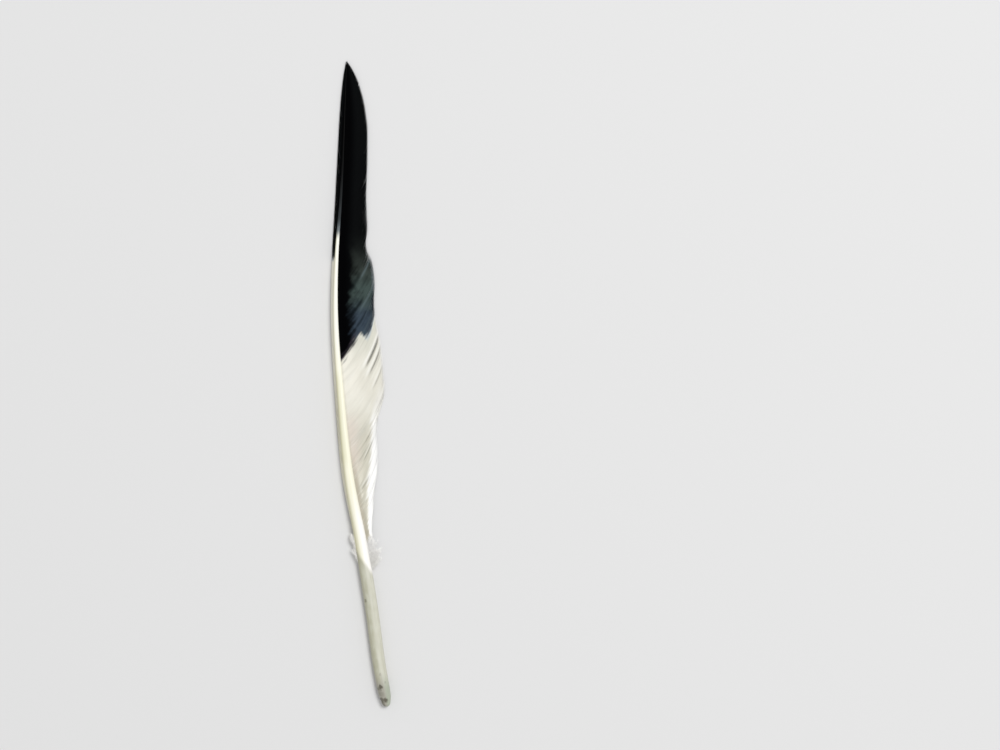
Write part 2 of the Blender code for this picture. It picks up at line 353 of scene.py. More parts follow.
def smooth(stations, at):
    """The value at each place on a smooth curve through the stations.

    Between two stations it is the cubic that has both values and both slopes, and a station's
    slope is the mean of the slopes on its two sides, weighted by their closeness.
    """
    place, value = np.array(stations, float).T
    slope = np.gradient(value, place)
    at = np.clip(at, place[0], place[-1])
    i = np.clip(np.searchsorted(place, at) - 1, 0, len(place) - 2)
    gap = place[i + 1] - place[i]
    t = (at - place[i]) / gap
    rise = value[i] * (1 + 2 * t) * (1 - t) ** 2 + value[i + 1] * t * t * (3 - 2 * t)
    return rise + gap * t * (1 - t) * (slope[i] * (1 - t) - slope[i + 1] * t)


def ease(low, high, at):
    """0 below low, 1 above high, and 3t^2 - 2t^3 of the way t between them."""
    t = np.clip((at - low) / (high - low), 0, 1)
    return t * t * (3 - 2 * t)


def unit(vectors):
    """Vectors divided by their own length."""
    return vectors / np.linalg.norm(vectors, axis=-1, keepdims=True)


def to_frame(points):
    """Drawing millimetres to the frame's metres: the solid's box keeps its place in the frame."""
    low = np.array(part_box(SOLID)[0])
    return (points - np.array(DRAWN_LOW)) * MM + low


def half_width(along):
    """Half the shaft's width, times sqrt(1 - (1 - t)^2.4) at t of the way through its rounded end."""
    rounding = np.clip(along / END_ROUNDING, 0, 1)
    return 0.5 * smooth(WIDTH, along) * np.sqrt(1 - (1 - rounding) ** END_FULLNESS)


def vane_height(side, along, across):
    """A vane's height: the shaft's, less its drop to the margin times (share across)^camber."""
    root = smooth(HEIGHT, along) + VANE_LIFT * half_width(along)
    edge = smooth(MARGIN_HEIGHT[side], along)
    share = np.clip(across / smooth(MARGIN[side], along), 0, 1)
    return root + (edge - root) * share ** CAMBER[side]


def barb_line(side, ends, shares):
    """Points at shares s down the barbs that end at the given places e on a margin.

    Along the feather a point lies at e - reach * (1 - s^1.15), and across it 1 - (1 - s)^1.4 of
    the way from the shaft to the margin, so that a barb leaves the shaft at about 45 degrees and
    bends until it runs nearly along the margin.
    """
    reach = smooth(BARB_REACH[side], ends)
    along = ends - reach * (1 - shares ** BEND_ALONG)
    root = smooth(SIDEWAYS, ends - reach) + side * BARB_ROOT * half_width(ends - reach)
    end = smooth(SIDEWAYS, ends) + side * smooth(MARGIN[side], ends)
    x = root + (end - root) * (1 - (1 - shares) ** BEND_ACROSS)
    across = np.maximum(side * (x - smooth(SIDEWAYS, along)), 0)
    return np.stack([x, along, vane_height(side, along, across)], -1)


def strand_mesh(rings, lane_from=0, lanes=None):
    """Corners, faces and UVs of closed strands from rings[strand, step, corner].

    Each strand is a tube of its rings with both ends closed. In the UV map it has a lane of its
    own, in which U goes round the section and V along the strand.
    """
    count, steps, sides = rings.shape[:3]
    lanes = lanes or count
    start = (np.arange(count) * steps * sides)[:, None, None]
    step = (np.arange(steps - 1) * sides)[None, :, None]
    corner = np.arange(sides)[None, None, :]
    turned = (corner + 1) % sides
    here, after = start + step, start + step + sides
    walls = (here + corner, here + turned, after + turned, after + corner)
    walls = np.stack(np.broadcast_arrays(*walls), -1)
    foot = (start + corner)[:, 0, ::-1]
    head = (start + (steps - 1) * sides + corner)[:, 0, :]
    faces = walls.reshape(-1, 4).tolist() + foot.tolist() + head.tolist()

    lane = (np.arange(count) + lane_from)[:, None, None] / lanes
    left = lane + (LANE_START + LANE_FILLED * corner / sides) / lanes
    right = lane + (LANE_START + LANE_FILLED * (corner + 1) / sides) / lanes
    low, high = (step / sides) / (steps - 1), (step / sides + 1) / (steps - 1)
    corners = (left, low, right, low, right, high, left, high)
    wall_uv = np.stack([np.broadcast_to(value, walls.shape[:-1]) for value in corners], -1)
    turn = (corner[0] + 0.5) / sides * 2 * math.pi
    cap_u = lane[:, 0] + (0.5 + CAP_WIDTH * np.cos(turn)) / lanes
    cap_v = CAP_HEIGHT * (1 + np.sin(turn)) + 0 * cap_u
    cap_uv = np.stack([cap_u, cap_v], -1)
    uv = np.concatenate([part.reshape(-1, 2) for part in (wall_uv, cap_uv[:, ::-1], cap_uv)])
    return rings.reshape(-1, 3), faces, uv


def make_piece(name, points, faces, uv, fields, finish):
    """One mesh object from arrays: its corners, faces, UV map and named values, finish and slot."""
    mesh = bpy.data.meshes.new(name)
    mesh.from_pydata(to_frame(points), [], faces)
    layer = mesh.uv_layers.new(name="OFBake")
    layer.uv.foreach_set("vector", np.asarray(uv, np.float32).ravel())
    for field, values in fields.items():
        data = mesh.attributes.new(field, "FLOAT", "POINT").data
        data.foreach_set("value", np.asarray(values, np.float32).ravel())
    mesh.shade_smooth()
    mesh.set_sharp_from_angle(angle=math.radians(SHARP_ANGLE))
    mesh.materials.append(finish)
    piece = bpy.data.objects.new(name, mesh)
    bpy.context.scene.collection.objects.link(piece)
    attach(piece, "root")
    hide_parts(SOLID)


def shaft_rings(along, turn):
    """The shaft's sections at places along it, as rings[step, corner], with a corner at each turn.

    A section is a squarish oval about the shaft's middle line. At turn a it is at (w * c^(2/n),
    h * s^(2/n)), where c and s are the cosine and sine of a and n is the squareness. The groove
    beneath the rachis lifts the underside by depth * h * (1 - (c / reach)^2), and the pit at the
    foot of the vanes by depth * exp(-(distance / length)^2) * exp(-(c / reach)^2).
    """
    cosine, sine = np.cos(turn), np.sin(turn)
    below = sine < 0
    wide = half_width(np.maximum(along, RIM_PLACE))[:, None]
    tall = wide * smooth(TALLNESS, along)[:, None]
    power = 2 / smooth(SQUARENESS, along)[:, None]
    across = wide * np.sign(cosine) * abs(cosine) ** power
    up = tall * np.sign(sine) * abs(sine) ** power
    fade = ease(GROOVE_START, GROOVE_START + GROOVE_FADE, along)[:, None]
    up = up + fade * GROOVE_DEPTH * tall * np.clip(1 - (cosine / GROOVE_REACH) ** 2, 0, 1) * below
    pit = np.exp(-((along - PIT_PLACE) / PIT_LENGTH) ** 2)[:, None] * np.exp(-(cosine / PIT_REACH) ** 2)
    up = up + PIT_DEPTH * pit * below
    x = smooth(SIDEWAYS, along)[:, None] + across
    z = smooth(HEIGHT, along)[:, None] + up
    return np.stack(np.broadcast_arrays(x, along[:, None], z), -1)


def make_shaft(finish, tip_finish):
    """Quill and rachis, one surface in two pieces that meet where the rachis turns black.

    The first rings line the hole in the quill's end: each lies some way in from the rim towards
    its middle, and some way down the hole's depth.
    """
    rounded = END_ROUNDING * np.linspace(0, 1, END_RINGS) ** 2
    along = np.concatenate([rounded, np.linspace(END_ROUNDING, SHAFT_END, SHAFT_RINGS)[1:]])
    turn = (np.arange(SHAFT_SIDES) + 0.5) / SHAFT_SIDES * 2 * math.pi
    rings = shaft_rings(along, turn)
    rim = rings[:1]
    middle = rim.mean(1, keepdims=True)
    depth = np.array([0, NAVEL_DEPTH, 0])
    navel = [rim * (1 - inward) + middle * inward + depth * down for inward, down, _ in NAVEL]
    rings = np.concatenate(navel + [rings])[None]
    dark = np.array([dark for _, _, dark in NAVEL] + [0.0] * len(along))
    turns = np.broadcast_to(turn, rings.shape[1:3])
    sunk = np.broadcast_to(dark[:, None], turns.shape)
    seam = len(NAVEL) + np.searchsorted(along, TIP_SHAFT_START)
    parts = {"shaft": (slice(0, seam + 1), finish), "shaft_tip": (slice(seam, None), tip_finish)}
    for name, (part, horn) in parts.items():
        fields = {
            "place": rings[:, part, :, 1],
            "turn_x": np.cos(turns[part]),
            "turn_z": np.sin(turns[part]),
            "sunk": sunk[part],
        }
        points, faces, uv = strand_mesh(rings[:, part])
        make_piece(name, points, faces, uv, fields, horn)


def barb_traits(side, ends, seed):
    """What sets the barbs of a vane apart: how each one strays, rises and is nibbled, and its tone.

    The barbs are split into locks of random length. A barb strays along the margin and is nibbled
    short by its lock's amount plus a little of its own, and it rises by the lock's relief * (way
    through the lock - 0.5), so that locks overlap like shingles.
    """
    rng = np.random.default_rng(seed)
    shortest, longest = LOCK_LENGTH
    most = int((ends[-1] - ends[0]) / shortest) + 2
    bounds = ends[0] + np.cumsum(rng.uniform(shortest, longest, most))
    bounds = np.concatenate([[ends[0]], bounds])
    lock = np.searchsorted(bounds, ends, side="right") - 1
    way = (ends - bounds[lock]) / (bounds[lock + 1] - bounds[lock])
    locks = lock.max() + 2
    stray = LOCK_STRAY[side] * rng.uniform(-1, 1, locks)[lock]
    relief = LOCK_RELIEF[side] * rng.uniform(LEAST_RELIEF, 1, locks)[lock]
    lock_tone = rng.uniform(0, 1, locks)[lock]
    nibble = rng.uniform(0, LOCK_NIBBLE, locks)[lock] + rng.uniform(0, BARB_NIBBLE, len(ends))
    nibble = nibble * (1 - ease(*NIBBLE_FADE, ends))
    stray = stray + rng.normal(0, BARB_STRAY, len(ends))
    tone = LOCK_TONE * lock_tone + BARB_TONE * rng.uniform(0, 1, len(ends))
    return stray, relief * (way - 0.5), nibble, tone


def slit_shift(ends, shares):
    """How far slits push barbs along the margin, and how far they lift them.

    Beside a slit a barb moves away from it by gap / 2 * exp(-distance / spread), times the eye
    sin(pi u)^0.7 down the stretch u of the barb that stands apart. It rises in the same way on the
    tip's side of the slit, and sinks on the other.
    """
    shift = np.zeros(np.broadcast_shapes(ends.shape, shares.shape))
    lift = np.zeros_like(shift)
    for place, depth, gap in SLITS:
        away = ends - place
        u = np.clip((shares - (1 - depth)) / (depth * SLIT_EYE), 0, 1)
        eye = np.sin(math.pi * u) ** SLIT_BLUNTNESS * np.exp(-abs(away) / SLIT_SPREAD)
        shift += 0.5 * gap * np.sign(away) * eye
        lift += SLIT_LIFT * np.sign(away) * eye
    return shift, lift


def blade_rings(side, ends, shares, stray, rise):
    """Sections of the barbs' blades, as rings[barb, step, corner].

    A section has four corners about the barb's line: two edges that reach a little past halfway to
    the next barb on each side, a low ridge above and a keel below. It thins to a point as
    sqrt(1 - s^7). At share s a barb is raised by rise * sin(0.62 pi s) and strays by stray * s^4.
    """
    flat = barb_line(side, ends[:, None], shares)
    lane = np.gradient(barb_line(side, ends[:, None], shares.mean(0)[None, :]), axis=0)
    run = unit(np.gradient(flat, axis=1))
    aside = lane - (lane * run).sum(-1, keepdims=True) * run
    spacing = np.linalg.norm(aside, axis=-1)
    aside = unit(aside)
    up = unit(np.cross(aside, run))
    up *= np.where(up[..., 2:] < 0, -1, 1)

    shift, lift = slit_shift(ends[:, None], shares) if side == TRAILING else (0, 0)
    moved = ends[:, None] + shift + stray[:, None] * shares ** STRAY_POWER
    line = barb_line(side, np.minimum(moved, ends.max()), shares)
    shingle = rise[:, None] * np.sin(LOCK_CREST * math.pi * shares)
    line = line + (shingle + lift)[..., None] * up
    whole = shares / shares.max(1, keepdims=True)
    taper = np.sqrt(np.clip(1 - whole ** TAPER_POWER, TAPER_LEAST, 1))
    wide = (0.5 * BARB_OVERLAP * spacing * taper)[..., None]
    thick = (taper * (1 - BARB_THINS * shares))[..., None]
    corners = [
        line + wide * aside + BARB_TILT * thick * up,
        line + BARB_RIDGE * thick * up,
        line - wide * aside - BARB_TILT * thick * up,
        line - BARB_KEEL * thick * up,
    ]
    return np.stack(corners, 2)


def lines_down(lines, ends, shares):
    """How strongly lines show on barbs: exp(-(distance / width)^2) across them, eased at both ends."""
    shown = np.zeros(np.broadcast_shapes(ends.shape, shares.shape))
    for end, start, stop, width, strength in lines:
        stretch = ease(start - LINE_FADE, start + LINE_FADE, shares)
        stretch = stretch * (1 - ease(stop - LINE_FADE, stop + LINE_FADE, shares))
        shown = np.maximum(shown, strength * stretch * np.exp(-((ends - end) / width) ** 2))
    return shown


def barb_fields(side, rings, ends, shares, tone):
    """The values that a barb's finish reads, each spread over the corners of its rings."""
    along = rings[..., 1]
    off_middle = abs(rings[..., 0] - smooth(SIDEWAYS, along))
    ends = ends[:, None]
    dark, light = (lines if side == TRAILING else () for lines in (SHADOW_LINES, HIGHLIGHT_LINES))
    spread = {
        "barb_end": ends,
        "down_barb": shares,
        "tone": tone[:, None],
        "shadow_line": lines_down(dark, ends, shares),
        "highlight_line": lines_down(light, ends, shares),
        "past_border": ends - smooth(BLACK_FROM, shares),
    }
    if side == LEADING:
        spread["past_border"] = along[..., 0] - BLACK_LEADING
    fields = {name: np.broadcast_to(value[..., None], along.shape) for name, value in spread.items()}
    fields["ridge"] = np.broadcast_to(RIDGE_SHOWN[::side], along.shape)
    fields["place"] = along
    fields["across"] = off_middle / smooth(MARGIN[side], along)
    fields["off_shaft"] = off_middle - half_width(along)
    return fields


def make_barbs(name, side, ends, finish, first, last):
    """A vane's barbs that end between two places, each a closed blade.

    The leading side is -1, so its sections' corners are taken the other way round, and the faces
    point outwards there too.
    """
    stray, rise, nibble, tone = barb_traits(side, ends, VANE_SEED)
    shares = np.linspace(0, 1, BARB_SEGMENTS[side] + 1)[None, :] * (1 - nibble)[:, None]
    chosen = (ends >= first) & (ends < last)
    rings = blade_rings(side, ends, shares, stray, rise)[chosen][:, :, ::side]
    fields = barb_fields(side, rings, ends[chosen], shares[chosen], tone[chosen])
    points, faces, uv = strand_mesh(rings)
    make_piece(name, points, faces, uv, fields, finish)


def strand_rings(lines, thickness):
    """Rings of three corners round lines[strand, step], of a thickness[step] across."""
    run = unit(np.gradient(lines, axis=1))
    aside = unit(np.cross(run, STEADY))
    up = np.cross(aside, run)
    turn = np.arange(STRAND_SIDES)[:, None] / STRAND_SIDES * 2 * math.pi
    ring = np.cos(turn) * aside[:, :, None] + np.sin(turn) * up[:, :, None]
    return lines[:, :, None] + 0.5 * thickness[:, None, None] * ring


def plume_lines(side, rng):
    """Middle lines of the plumes in one side's tuft, as lines[plume, step].

    A plume starts in the shaft, and at share s of its length it has turned away from the shaft by
    turn * (1 - curl * s), so that it curls back along it. It stands lift * sin(0.8 pi s) -
    drop * s above its root, and sways up or down by a random amount * s.
    """
    locks = np.repeat([lock for lock in DOWN if lock[1] == side], PLUMES, axis=0)
    each = (len(locks), 1)
    root, _, length, turn = (column[:, None] for column in locks.T)
    root = root + rng.uniform(-DOWN_STRAY, DOWN_STRAY, each)
    length = length * rng.uniform(*PLUME_LENGTH, each)
    lean = np.radians(turn + rng.uniform(-PLUME_SPREAD, PLUME_SPREAD, each))
    curl = rng.uniform(*DOWN_CURL, each)
    share = np.linspace(0, 1, PLUME_STEPS)[None, :]
    lean = lean * (1 - curl * share)
    step = length / (PLUME_STEPS - 1)
    out = DOWN_ROOT * half_width(root) + np.cumsum(np.sin(lean), 1) * step
    x = smooth(SIDEWAYS, root) + side * out
    y = root + np.cumsum(np.cos(lean), 1) * step
    z = smooth(HEIGHT, root) + DOWN_LIFT * np.sin(DOWN_CREST * math.pi * share) - DOWN_DROP * share
    z = z + rng.uniform(-DOWN_SWAY, DOWN_SWAY, each) * share
    return np.stack([x, y, z], -1)


def wisp_lines(plumes, rng):
    """Middle lines of the wisps, two rows down each plume, as lines[wisp, step].

    A wisp leaves its plume at 25 to 80 degrees. At way w of its length it has gone w that way,
    bend * w^2 forward along the plume, and wave * w * sin(2 pi (w + a random turn)) to one side.
    Its length is sin(pi (0.2 + 0.7 a)) at share a down the plume, times a random amount.
    """
    at = np.linspace(*WISP_STRETCH, WISPS)
    low = np.minimum((at * (PLUME_STEPS - 1)).astype(int), PLUME_STEPS - 2)
    past_low = (at * (PLUME_STEPS - 1) - low)[None, :, None]
    foot = plumes[:, low] * (1 - past_low) + plumes[:, low + 1] * past_low
    run = unit(plumes[:, low + 1] - plumes[:, low])
    across = unit(np.cross(run, UP))
    foot, run, across = (np.concatenate([row, row], 1) for row in (foot, run, across))
    hand = np.repeat([1.0, -1.0], WISPS)[None, :, None]
    each = (len(plumes), 2 * WISPS, 1)
    splay = np.radians(rng.uniform(*WISP_SPLAY, each))
    rise = rng.uniform(*WISP_RISE, each) * UP
    away = unit(run * np.cos(splay) + hand * across * np.sin(splay) + rise)
    arch_from, arch_over = WISP_ARCH
    arch = np.sin(math.pi * (arch_from + arch_over * np.concatenate([at, at])))[None, :, None]
    reach = WISP_LENGTH * arch * rng.uniform(*WISP_VARIES, each)
    way = np.linspace(0, 1, WISP_STEPS)[None, None, :, None]
    bend = rng.uniform(*WISP_BEND, each)[:, :, None] * run[:, :, None]
    wave = np.sin(2 * math.pi * (way + rng.uniform(0, 1, each)[:, :, None])) * WISP_WAVE * way
    aside = unit(np.cross(away, rng.normal(0, 1, (*each[:2], 3))))[:, :, None]
    gone = way * away[:, :, None] + way ** 2 * bend + wave * aside
    lines = foot[:, :, None] + reach[:, :, None] * gone
    return lines.reshape(-1, WISP_STEPS, 3)


def make_down(name, side, finish):
    """One side's tuft of down: plumes that curl out from the shaft, each with two rows of wisps."""
    rng = np.random.default_rng(DOWN_SEED[side])
    plumes = plume_lines(side, rng)
    wisps = wisp_lines(plumes, rng)
    thick = PLUME_THICKNESS * (1 - PLUME_THINS * np.linspace(0, 1, PLUME_STEPS))
    thin = WISP_THICKNESS * (1 - WISP_THINS * np.linspace(0, 1, WISP_STEPS))
    lanes = len(plumes) + len(wisps)
    points, faces, uv = strand_mesh(strand_rings(plumes, thick), 0, lanes)
    wisp_points, wisp_faces, wisp_uv = strand_mesh(strand_rings(wisps, thin), len(plumes), lanes)
    faces += [[corner + len(points) for corner in face] for face in wisp_faces]
    points = np.concatenate([points, wisp_points])
    uv = np.concatenate([uv, wisp_uv])
    make_piece(name, points, faces, uv, {"place": points[:, 1]}, finish)


def linear(tint):
    """A screen's red, green and blue, 0 to 255, as Blender's linear values with full alpha.

    The share s of full brightness becomes ((s + 0.055) / 1.055)^2.4, or s / 12.92 where it is dark.
    """
    level = np.array(tint, float)
    s = level / 255
    light = np.where(level < DARK_LEVEL, s / 12.92, ((s + 0.055) / 1.055) ** 2.4)
    return (*light.tolist(), 1)


class Wire:
    """A value that varies over a surface. Arithmetic on wires adds Math nodes to their material.

    A finish starts from a wire with no socket, which makes the first nodes.
    """

    def __init__(self, tree, socket=None):
        self.tree = tree
        self.socket = socket

    def node(self, kind, settings, sockets, output=0):
        """Adds a node: its settings first, then the values or links of its sockets."""
        made = self.tree.nodes.new(kind)
        for key, value in settings.items():
            setattr(made, key, value)
        for key, value in sockets.items():
            if isinstance(value, Wire):
                self.tree.links.new(value.socket, made.inputs[key])
            else:
                made.inputs[key].default_value = value
        return Wire(self.tree, made.outputs[output])

    def math(self, operation, *values):
        """A Math node on values, which are wires or numbers."""
        return self.node("ShaderNodeMath", {"operation": operation}, dict(enumerate(values)))

    def __add__(self, other):
        return self.math("ADD", self, other)

    __radd__ = __add__

    def __sub__(self, other):
        return self.math("SUBTRACT", self, other)

    def __rsub__(self, other):
        return self.math("SUBTRACT", other, self)

    def __mul__(self, other):
        return self.math("MULTIPLY", self, other)

    __rmul__ = __mul__

    def __truediv__(self, other):
        return self.math("DIVIDE", self, other)

    def __pow__(self, other):
        return self.math("POWER", self, other)

    def larger(self, other):
        """The larger of this and the other."""
        return self.math("MAXIMUM", self, other)

    def field(self, name):
        """A named value of the mesh."""
        return self.node("ShaderNodeAttribute", {"attribute_name": name}, {}, output=2)

    def fields(self, *names):
        """Several named values of the mesh."""
        return [self.field(name) for name in names]

    def ease(self, low, high):
        """0 where this is below low, 1 above high, smooth between."""
        sockets = {"Value": self, "From Min": low, "From Max": high}
        return self.node("ShaderNodeMapRange", {"interpolation_type": "SMOOTHSTEP"}, sockets)

    def hump(self, low, high, soft):
        """1 between low and high, 0 further than soft outside them."""
        return self.ease(low - soft, low) * (1 - self.ease(high, high + soft))

    def blend(self, low, high):
        """The colour low where this is 0, and high where it is 1. A colour is a wire or a screen's."""
        low, high = (tint if isinstance(tint, Wire) else linear(tint) for tint in (low, high))
        settings = {"data_type": "RGBA", "clamp_factor": True}
        return self.node("ShaderNodeMix", settings, {0: self, 6: low, 7: high}, output=2)

    def noise(self, x, y, z, scale, detail):
        """Soft random values about 0.5, read at the point (x, y, z)."""
        point = self.node("ShaderNodeCombineXYZ", {}, {0: x, 1: y, 2: z})
        return self.node("ShaderNodeTexNoise", {}, {"Vector": point, "Scale": scale, "Detail": detail})


def new_finish(name, gloss):
    """A material with a plain Principled shader, and that shader."""
    material = bpy.data.materials.new(name)
    material.use_nodes = True
    shader = material.node_tree.nodes["Principled BSDF"]
    roughness, specular = gloss
    shader.inputs["Roughness"].default_value = roughness
    shader.inputs["Specular IOR Level"].default_value = specular
    return material, shader


def paint(shader, wire):
    """Gives a shader the colour that a wire carries."""
    wire.tree.links.new(wire.socket, shader.inputs["Base Color"])


def white_barbs(start, streak, fine):
    """The trailing vane's white, and how far a painted highlight covers its ragged lower margin and its
    edge.

    Cloudy cream, brighter near the shaft halfway up, greyer and then rosy towards the quill. Down
    there it is shaded beside the shaft and just inside the margin. Single barbs are worn or fresh.
    """
    place, across, tone = start.fields("place", "across", "tone")
    off_shaft, past = start.fields("off_shaft", "past_border")
    cloud = start.noise(place * 0.09, across * 1.5, 9.0, 1.0, 2.0)
    near = 1 - across.ease(0.25, 0.62)
    low = 1 - place.ease(100, 122)
    white = cloud.ease(0.38, 0.62).blend(CREAM, DULL_CREAM)
    white = (near * place.hump(150, 164, 14)).blend(white, BRIGHT_CREAM)
    white = ((1 - place.ease(108, 150)) * 0.9).blend(white, GREY_CREAM)
    white = (near * place.hump(114, 130, 12) * 0.8).blend(white, ROSY_CREAM)
    white = (low * off_shaft.ease(1.1, 3.0)).blend(white, WARM_CREAM)
    white = (low * (1 - off_shaft.ease(0.8, 2.5)) * 0.85).blend(white, SHADED_CREAM)
    white = ((1 - off_shaft.ease(0.2, 1.1)) * 0.3).blend(white, SHAFT_SHADOW)
    white = (past.ease(-12, -2) * across.ease(0.15, 0.5) * 0.42).blend(white, BORDER_GREY)
    worn = (streak * 0.65 + fine * 0.35).ease(0.44, 0.62)
    white = (worn * (0.2 + 0.14 * (1 - place.ease(120, 150)))).blend(white, WORN_BARB)
    white = (fine.ease(0.56, 0.68) * 0.4).blend(white, FRESH_BARB)

    # Painted highlight: a ragged strip along the lower margin, where the vane curls up to the light, with
    # painted shade just inside it.
    strip_from = 0.71 + place.ease(104, 134) * 0.13 + (1 - place.ease(78, 86)) * 0.08
    ragged = across + (streak - 0.5) * 0.34 + (tone - 0.5) * 0.05
    in_strip = ragged - strip_from
    white = (in_strip.hump(-0.2, -0.1, 0.08) * low * 0.4).blend(white, STRIP_SHADOW)
    fading = 1 - place.ease(130, 141) * 0.6 - place.ease(145, 155) * 0.4
    # Painted highlight along the margin's edge.
    edge = across.ease(0.93, 0.985) * 0.6
    return white, (in_strip.ease(-0.06, 0.07) * fading).larger(edge)


def leading_barbs(start, streak, fine):
    """The leading vane's white: bright, but worn and olive for a stretch above the down."""
    place = start.field("place")
    worn = (streak * 0.6 + fine * 0.4).ease(0.4, 0.62)
    bright = place.ease(140, 160) + 1 - place.ease(100, 118)
    return bright.blend(worn.blend(OLIVE_WHITE, OLIVE_WORN), OLIVE_BRIGHT)


def black_barbs(start, streak, fine):
    """Black, with a slate blue and grey green cast where it meets the white, away from the shaft, which
    is partly the barbs' own tone and partly painted sheen.
    """
    place, across = start.fields("place", "across")
    patch = start.noise(place * 0.22, across * 3.0, 5.0, 1.0, 3.0)
    slate_sheen = (place + (patch - 0.5) * 10).ease(182, 194).blend(SLATE_BLUE, SLATE_GREEN)
    slate_sheen = place.ease(196, 208).blend(slate_sheen, SLATE_GREY)
    # Painted highlight along part of the margin's edge.
    slate_sheen = (across.ease(0.88, 0.97) * place.hump(198, 209, 5)).blend(slate_sheen, SLATE_EDGE_HIGHLIGHT)
    slate_sheen = (across.ease(0.9, 0.96) * place.hump(184, 192, 4)).blend(slate_sheen, DARK_MARGIN)
    inner = across - place.ease(188, 200) * 0.06
    outer = (inner + (streak - 0.5) * 0.25 + (patch - 0.5) * 0.35).ease(0.28, 0.62)
    lasting = 1 - (place + (streak - 0.5) * 10).ease(196, 229)
    patchy = 0.62 + 0.6 * (streak * 0.35 + fine * 0.2 + patch * 0.45).ease(0.38, 0.6)
    return (outer * lasting * lasting * patchy).blend(JET, slate_sheen)


def vane_finish(name, side, gloss):
    """Barbs, white towards the quill and black towards the tip, with each one's ridge a little lighter.

    Both colours carry the lines down single barbs, and the two meet in a frayed border, which is
    misty blue on the white's side near the margin and smoky on the black's side near the shaft.
    """
    material, shader = new_finish(name, gloss)
    start = Wire(material.node_tree)
    across, tone, ridge, past = start.fields("across", "tone", "ridge", "past_border")
    end, down, dark, light = start.fields("barb_end", "down_barb", "shadow_line", "highlight_line")
    streak = start.noise(end * 0.5, down * 1.5, 0.0, 1.0, 4.0)
    fine = start.noise(end * 2.2, down * 2.6, 4.0, 1.0, 3.0)
    furrow = (1 - ridge) * 0.3 + tone * 0.12
    if side == TRAILING:
        white, strip_highlight = white_barbs(start, streak, fine)
        white = furrow.blend(white, FURROW)
        # The painted highlight on the margin, a little weaker on each barb's edges.
        white = (strip_highlight * (1 - furrow * 0.4)).blend(white, STRIP_HIGHLIGHT)
        frayed = start.noise(end * 0.6, down * 4.0, 2.0, 1.0, 2.0)
        past = past + (frayed - 0.5) * 6 + (tone - 0.5) * 1.4
    else:
        white = furrow.blend(leading_barbs(start, streak, fine), FURROW)
        past = past + (streak - 0.5) * 8
    # Painted highlights on lifted lock edges, and painted shadows beside the slits.
    white = (light * 0.8).blend(white, HIGHLIGHT_LINE)
    white = dark.blend(white, SHADE_LINE)
    misty = past.hump(-0.5, 0.8, 0.9) * across.ease(0.55, 0.8)
    white = (misty * 0.7).blend(white, MIST)

    black = black_barbs(start, streak, fine)
    black = (ridge * 0.07 * across.ease(0.2, 0.6)).blend(black, JET_RIDGE)
    # The same painted highlights and shadows on the black barbs.
    black = (light * 0.7).blend(black, JET_HIGHLIGHT_LINE)
    black = (dark * 0.9).blend(black, JET_SHADE_LINE)
    smoky = past.hump(0.4, 2.6, 1.6) * (1 - across.ease(0.4, 0.6)) * fine.ease(0.42, 0.62)
    black = (smoky * 0.7).blend(black, SMOKE)
    paint(shader, past.ease(-1.4, 1.5).blend(white, black))
    return material


def down_finish():
    """Down: greyish white, a little darker towards the quill."""
    material, shader = new_finish("down", GLOSS["down"])
    upper = Wire(material.node_tree).field("place").ease(64, 76)
    paint(shader, upper.blend(DOWN_FOOT, DOWN_WHITE))
    return material


def rachis_colour(place, side_x, side_z, flute):
    """The rachis: ivory with fine streaks, with painted shade on its leading side and underneath, and a
    painted highlight on its trailing side near the foot.
    """
    rachis = flute.ease(0.3, 0.7).blend(IVORY, IVORY_STREAK)
    # Painted highlight on the trailing side near the foot.
    rachis = ((1 - place.ease(84, 104)) * side_x.ease(-0.3, 0.3) * 0.85).blend(rachis, IVORY_FOOT_HIGHLIGHT)
    rachis = (place.ease(150, 180) * 0.7).blend(rachis, IVORY_UPPER)
    # Painted shade on the leading side, halfway up.
    shaded = (1 - side_x.ease(-0.3, 0.6)) * place.hump(118, 152, 8)
    rachis = (shaded * 0.75).blend(rachis, IVORY_SHADE)
    # Painted shade on the leading side and underneath.
    rachis = ((0 - side_x).ease(0.05, 0.95) * 0.8).blend(rachis, IVORY_LEADING_SHADE)
    return ((0 - side_z).ease(0.1, 0.7) * 0.6).blend(rachis, IVORY_UNDER_SHADE)


def quill_colour(place, side_x, flute, mottle):
    """The bare quill: mottled grey horn, half clear at its end, with a painted highlight on the trailing
    half of its top and painted shade on its leading side and trailing edge.
    """
    quill = mottle.ease(0.35, 0.65).blend(QUILL, QUILL_MOTTLE)
    # Painted highlight on the trailing half of the top.
    quill = (side_x.hump(0.1, 0.8, 0.45) * 0.55).blend(quill, QUILL_SHEEN)
    # Painted shade on the leading side and at the trailing edge.
    quill = ((0 - side_x).ease(0.35, 1.0) * 0.6).blend(quill, QUILL_LEADING_SHADE)
    quill = (side_x.ease(0.85, 1.0) * 0.25).blend(quill, QUILL_TRAILING_SHADE)
    clear = 1 - (place + (mottle - 0.5) * 8).ease(8, 17)
    clear_horn = side_x.ease(0.0, 0.5).blend(QUILL_CLEAR, QUILL_CLEAR_TRAILING)
    quill = (clear * 0.85).blend(quill, clear_horn)
    return (flute.ease(0.48, 0.68) * 0.2).blend(quill, QUILL_STREAK)


